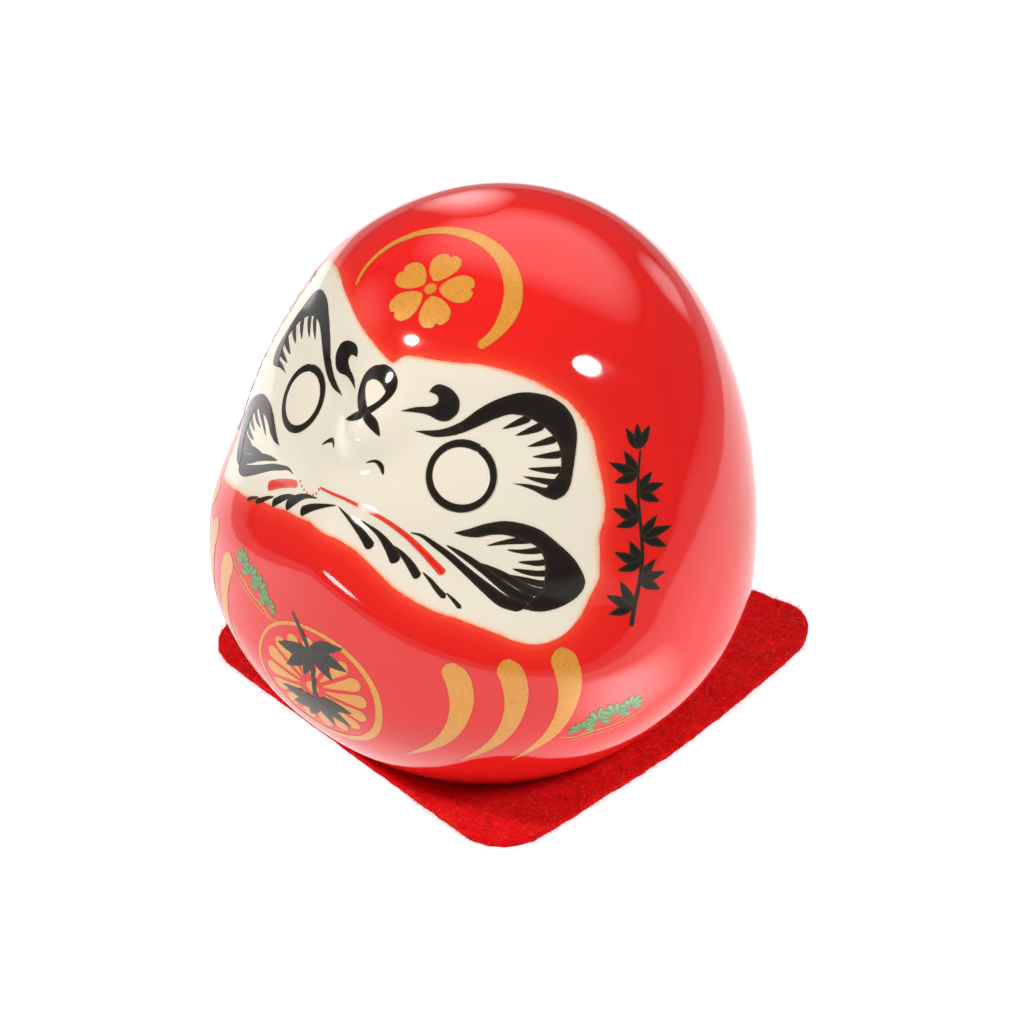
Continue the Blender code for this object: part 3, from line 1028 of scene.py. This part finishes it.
def paint_mouth(front, red):
    """The red line of the mouth, which breaks up into dots in one corner."""
    mouth = Films()
    for path in MOUTH_LINES:
        mouth.stroke(front, path)
    for u, v in MOUTH_DOTS:
        mouth.stroke(front, [(u - 0.16, v, 0.40), (u + 0.16, v, 0.40)], step=0.1)
    mouth.build("mouth_line", red)


def paint_eyes(eye_chart, black):
    """Each eye: a blank cream disc, a sliver of white beside it that is a painted highlight, and a black ring.
    """
    rings, eye_glints, eyes = Films(), Films(), Films()
    for mirror in (False, True):
        path = []
        for i, (u, v) in enumerate(ellipse((0, 0), (EYE_RADIUS, EYE_RADIUS), 60, 424, 56)):
            path.append((u, v, 1.00 + 0.12 * math.sin(i * 0.23 + 1.0)))
        rings.stroke(eye_chart, path, layer=4, mirror=mirror)
        white, blank = EYE_RADIUS - 0.3, EYE_RADIUS - 0.62
        # a white disc under the cream, which shows at one side as a painted highlight
        eye_glints.fill(eye_chart, ellipse((0, 0), (white, white), 0, 353, 50), layer=2, mirror=mirror)
        eyes.fill(eye_chart, ellipse(EYE_BLANK, (blank, blank), 0, 353, 50), layer=3, mirror=mirror)
    rings.build("eye_rings", black)
    eye_glints.build("eye_highlights", eye_highlight_white())
    eyes.build("eye_fills", eye_glaze())


def paint_ornament(body, front, black, gold, green):
    """The crest, the emblem, and the crescents, pines and sprigs of the robe."""
    golds, greens, blacks = Films(), Films(), Films()
    crest(Chart(body, CREST_CENTRE, CREST_FACING), golds)
    emblem(front, golds, blacks)
    for mirror, bearing in zip((False, True), CRESCENT_BEARINGS):
        out = Vector((math.sin(math.radians(bearing)), -math.cos(math.radians(bearing)), 0.0))
        robe = Chart(body, out * CRESCENT_REACH + Vector((0, 0, 24.0)), out)
        for k in (-1, 0, 1):
            shift = Vector(CRESCENT_STEP) * k
            outline = [Vector(p) + shift for p in outline_of(*CRESCENT)]
            golds.fill(robe, outline, layer=1, rims=(0.2,), mirror=mirror)
    for centre, facing, turn, flip in PINES:
        pine(Chart(body, centre, facing, turn), greens, golds, flip)
    side = Chart(body, SPRIG_CENTRE, SPRIG_FACING)
    for mirror in (False, True):
        sprig(side, blacks, mirror)
    golds.build("gold_ornament", gold)
    greens.build("pine_tufts", green)
    blacks.build("black_ornament", black)


def mark_glow(body):
    """Stores how far each point of the body is from the face window, for the red glaze's colour."""
    front = Chart(body)
    line = [front.on_body(*p)[0] for p in window_outline()]
    tree = KDTree(len(line))
    for i, p in enumerate(line):
        tree.insert(p, i)
    tree.balance()
    set_floats(body.piece, "from_face", [tree.find(p)[2] / MM for p in body.points])


# ---------------------------------------------------------------- the felt

def rounded_square(side, corner, steps):
    """The outline of a square with round corners, centred on the origin."""
    straight = side / 2 - corner
    outline = []
    for quarter, (x, y) in enumerate(((1, 1), (-1, 1), (-1, -1), (1, -1))):
        for i in range(steps + 1):
            angle = math.pi / 2 * (quarter + i / steps)
            arc = Vector((math.cos(angle), math.sin(angle))) * corner
            outline.append(Vector((x, y)) * straight + arc)
    return outline


def even_outline(outline, count):
    """count points evenly along a closed outline."""
    closed = [*outline, outline[0]]
    run = np.concatenate([[0], np.cumsum([(b - a).length for a, b in zip(closed, closed[1:])])])
    places = np.linspace(0, run[-1], count, endpoint=False)
    return list(zip(*(np.interp(places, run, [p[k] for p in closed]) for k in (0, 1))))


class Felt:
    """The felt square: its body, and the loose fibres on it."""

    RINGS = 78
    COLUMNS = 420
    # Round the cut edge: (share of the way out, share of the way up)
    EDGE = ((1.0, 0.985), (1.0, 0.82), (1.003, 0.55), (1.003, 0.3), (1.0, 0.08), (0.996, 0.0))
    FIBRES = 12000
    EDGE_FIBRES = 0.22  # share of them that stick out of the cut edge
    ARCHED = 0.7  # share of them that rise in the middle; the others rise at one end
    LENGTHS = (0.0006, 0.0024)
    CURLS = (-1.2, 1.2)  # how far a fibre turns along its length, in radians
    RISES = (0.00003, 0.00026)
    THICKNESSES = (0.000012, 0.000024)
    CLEARANCE = 0.0012  # between the doll's foot and the nearest loose fibre

    def __init__(self):
        low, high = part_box("felt_mat")
        self.centre = Vector(((low[0] + high[0]) / 2, (low[1] + high[1]) / 2))
        self.turn = Matrix.Rotation(MAT_TURN, 2)

    def under(self, u, v):
        """Height of the underside at a point of the felt's own square: flat, but one corner curls up."""
        reach = (MAT_SIDE / 2 - MAT_CORNER) * math.sqrt(2) + MAT_CORNER - CURL_START
        along = ((u + v) / math.sqrt(2) - CURL_START) / reach
        return CURL_HEIGHT * min(1.0, max(0.0, along)) ** CURL_POWER

    def thickness(self, x, y):
        """Matted, pressed flat under the doll and swelling a little round its foot."""
        reach = math.hypot(x, y)
        rough = noise.fractal(Vector((x, y, 0.0)) / 0.0016, 0.7, 2.1, 3) * 0.00006
        rough += noise.noise(Vector((x, y, 3.0)) / 0.009) * 0.00008
        loose = eased((reach - BASE_RADIUS - 0.0002) / 0.0012)
        swell = 0.00022 * loose * (1 - eased((reach - BASE_RADIUS - 0.0012) / 0.0040))
        return MAT_THICKNESS + rough * (0.15 + 0.85 * loose) + swell

    def point(self, u, v, share):
        """A point of the felt; share is how far up its thickness it lies."""
        x, y = self.turn @ Vector((u, v)) + self.centre
        return Vector((x, y, self.under(u, v) + self.thickness(x, y) * share))

    def build(self, material):
        outline = even_outline(rounded_square(MAT_SIDE, MAT_CORNER, 10), self.COLUMNS)
        rings = [(i / self.RINGS, 1.0) for i in range(1, self.RINGS)]
        rings += [*self.EDGE, *((i / self.RINGS, 0.0) for i in range(self.RINGS - 3, 0, -6))]
        placed = []
        for reach, share in rings:
            for u, v in outline:
                place = Vector((u, v)) * reach
                if 0 < share < 1:
                    wave = noise.fractal(Vector((u, v, 0.002 + share)) / 0.0022, 0.8, 2.0, 3)
                    place += place.normalized() * 0.00022 * wave
                placed.append(self.point(*place, share))
        placed.append(self.point(0.0, 0.0, 1.0))
        placed.append(self.point(0.0, 0.0, 0.0))
        faces = ring_faces(len(rings), self.COLUMNS, len(placed) - 2, len(placed) - 1)
        piece = new_piece("felt_square", placed, faces, "mat", [material])
        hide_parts("felt_mat")
        return piece

    def pile(self, material):
        """Loose fibres: short curved threads that lie on the felt or stick out of its cut edge."""
        rng = random.Random(11)
        points, faces = [], []
        half = MAT_SIDE / 2
        threads = 0
        while threads < self.FIBRES:
            at_edge = rng.random() < self.EDGE_FIBRES
            u, v = (rng.uniform(-half, half) for _ in range(2))
            if at_edge:
                shove = rng.choice((-1, 1)) * (half - rng.uniform(-0.0001, 0.0006))
                u, v = (shove, v) if rng.random() < 0.5 else (u, shove)
            if corner_excess(u, v, half, MAT_CORNER) > 0.0001:
                continue
            heading, length = rng.uniform(0, 2 * math.pi), rng.uniform(*self.LENGTHS)
            curl, rise = rng.uniform(*self.CURLS), rng.uniform(*self.RISES)
            size = rng.uniform(*self.THICKNESSES)
            share = rng.uniform(0.2, 1.0) if at_edge else 1.0
            arched = rng.random() < self.ARCHED
            path = []
            for k in range(3):
                along = k / 2
                turn = heading + curl * along
                lift = rise * (4 * along * (1 - along) if arched else along)
                out = length * (along - 0.5)
                spot = self.point(u + out * math.cos(turn), v + out * math.sin(turn), share)
                path.append(spot + Vector((0, 0, size * 0.5 + lift)))
            if min(p.xy.length for p in path) < BASE_RADIUS + self.CLEARANCE:
                continue
            thread(points, faces, path, size)
            threads += 1
        return new_piece("felt_pile", points, faces, "mat", [material])


def corner_excess(u, v, half, corner):
    """How far outside a rounded square a point is."""
    du, dv = abs(u) - (half - corner), abs(v) - (half - corner)
    if du > 0 and dv > 0:
        return math.hypot(du, dv) - corner
    return max(du, dv) - corner


def thread(points, faces, path, size):
    """Adds a thin three-sided thread along a path."""
    base = len(points)
    for i, p in enumerate(path):
        along = (path[min(i + 1, len(path) - 1)] - path[max(i - 1, 0)]).normalized()
        side = along.cross(Vector((0, 0, 1))).normalized()
        up = side.cross(along)
        for k in range(3):
            turn = 2 * math.pi * k / 3
            points.append(p + (side * math.cos(turn) + up * math.sin(turn)) * size)
    for i in range(len(path) - 1):
        low, high = base + 3 * i, base + 3 * i + 3
        for k in range(3):
            n = (k + 1) % 3
            faces.append((low + k, low + n, high + n))
            faces.append((low + k, high + n, high + k))
    faces.append((base, base + 2, base + 1))
    faces.append(tuple(len(points) - 3 + k for k in (0, 1, 2)))


# ---------------------------------------------------------------- stage

def facing_doll(item, azimuth, elevation, distance):
    """Puts a lamp or a panel round the doll, facing it. Azimuth 0 is in front of it and 90 at its left."""
    a, e = math.radians(azimuth), math.radians(elevation)
    away = Vector((math.sin(a) * math.cos(e), -math.cos(a) * math.cos(e), math.sin(e)))
    item.location = away * distance + Vector((0, 0, 0.04))
    item.rotation_mode = "QUATERNION"
    item.rotation_quaternion = away.to_track_quat("Z", "Y")
    item.visible_camera = False
    bpy.context.scene.collection.objects.link(item)


def lamp(name, azimuth, elevation, distance, size, radiance):
    """A small bright oval of light."""
    data = bpy.data.lights.new(name, "AREA")
    data.shape = "ELLIPSE"
    data.size, data.size_y = size
    data.energy = radiance * math.pi**2 / 4 * size[0] * size[1]
    facing_doll(bpy.data.objects.new(name, data), azimuth, elevation, distance)


def panel(name, azimuth, elevation, distance, size, radiance, core):
    """A large soft panel, at full brightness out to its core's share of its radius and dark at its rim."""
    mesh = bpy.data.meshes.new(name)
    mesh.from_pydata([(*p, 0) for p in ellipse((0, 0), (1, 1), 0, 350, 36)], [], [tuple(range(36))])
    m = Maker(name)
    reach = m.node("ShaderNodeVectorMath", operation="LENGTH")
    m.link(m.place, reach.inputs[0])
    m.link(m.spread(reach.outputs["Value"], core, 1.0, radiance, 0.0), m.shader.inputs["Emission Strength"])
    m.set(Base_Color=(0.0, 0.0, 0.0, 1.0), Emission_Color=(1.0, 1.0, 1.0, 1.0), Specular_IOR_Level=0.0)
    mesh.materials.append(m.material)
    item = bpy.data.objects.new(name, mesh)
    item.scale = (size[0] / 2, size[1] / 2, 1)
    facing_doll(item, azimuth, elevation, distance)


def stage():
    """A round white light table on a grey floor, the lamps, and panels behind the doll and at its right."""
    mesh = bpy.data.meshes.new("floor")
    reach = 4.0
    mesh.from_pydata([(-reach, -reach, 0), (reach, -reach, 0), (reach, reach, 0), (-reach, reach, 0)], [],
                     [(0, 1, 2, 3)])
    m = Maker("floor")
    distance = m.node("ShaderNodeVectorMath", operation="LENGTH")
    m.link(m.place, distance.inputs[0])
    lit = m.spread(distance.outputs["Value"], TABLE_RADIUS, TABLE_RADIUS + TABLE_FADE, TABLE_GLOW, 0.0)
    spot = m.node("ShaderNodeVectorMath", operation="DISTANCE")
    m.link(m.place, spot.inputs[0])
    spot.inputs[1].default_value = (HOT_SPOT[0] - TABLE_CENTRE[0], HOT_SPOT[1] - TABLE_CENTRE[1], 0.0)
    hot = m.spread(spot.outputs["Value"], 0.006, 0.030, HOT_GLOW, 0.0)
    m.link(m.sum(lit, hot), m.shader.inputs["Emission Strength"])
    grain = m.spread(m.noise(0.002, 2.0), 0.3, 0.7, 0.0, 1.0)
    m.colour(m.mixed(grain, (0.40, 0.40, 0.40), (0.42, 0.42, 0.42)))
    m.set(Roughness=0.7, Emission_Color=(1.0, 1.0, 1.0, 1.0), Specular_IOR_Level=0.0)
    mesh.materials.append(m.material)
    floor = bpy.data.objects.new("floor", mesh)
    floor.location = (*TABLE_CENTRE, -0.0002)
    bpy.context.scene.collection.objects.link(floor)

    world = bpy.data.worlds.new("room")
    world.use_nodes = True
    world.node_tree.nodes["Background"].inputs["Color"].default_value = (1.0, 1.0, 1.0, 1.0)
    world.node_tree.nodes["Background"].inputs["Strength"].default_value = ROOM_LIGHT
    bpy.context.scene.world = world

    for settings in LAMPS:
        lamp(*settings)
    for settings in PANELS:
        panel(*settings)
    bpy.context.scene.view_settings.view_transform = "Standard"


def camera():
    """A long lens, above the doll and at its left."""
    a, e = CAMERA_AZIMUTH, CAMERA_ELEVATION
    back = Vector((math.sin(a) * math.cos(e), -math.cos(a) * math.cos(e), math.sin(e)))
    right = Vector((math.cos(a), math.sin(a), 0))
    up = back.cross(right)
    made = bpy.data.objects.new("camera", bpy.data.cameras.new("camera"))
    made.data.lens = CAMERA_LENS
    made.data.clip_start, made.data.clip_end = 0.05, 20.0
    spot = right * CAMERA_PAN[0] + up * CAMERA_PAN[1] + back * CAMERA_DISTANCE + Vector((0, 0, FOOT_Z))
    turn = Matrix((right, up, back)).transposed().to_4x4()
    made.matrix_world = Matrix.Translation(spot) @ turn
    bpy.context.scene.collection.objects.link(made)
    bpy.context.scene.camera = made


def main():
    camera()
    stage()
    body = Body()
    body.build([red_glaze(), bare_clay()])
    mark_glow(body)
    paint(body)
    felt = Felt()
    square = felt.build(red_felt())
    pile = felt.pile(felt_fibre())


main()
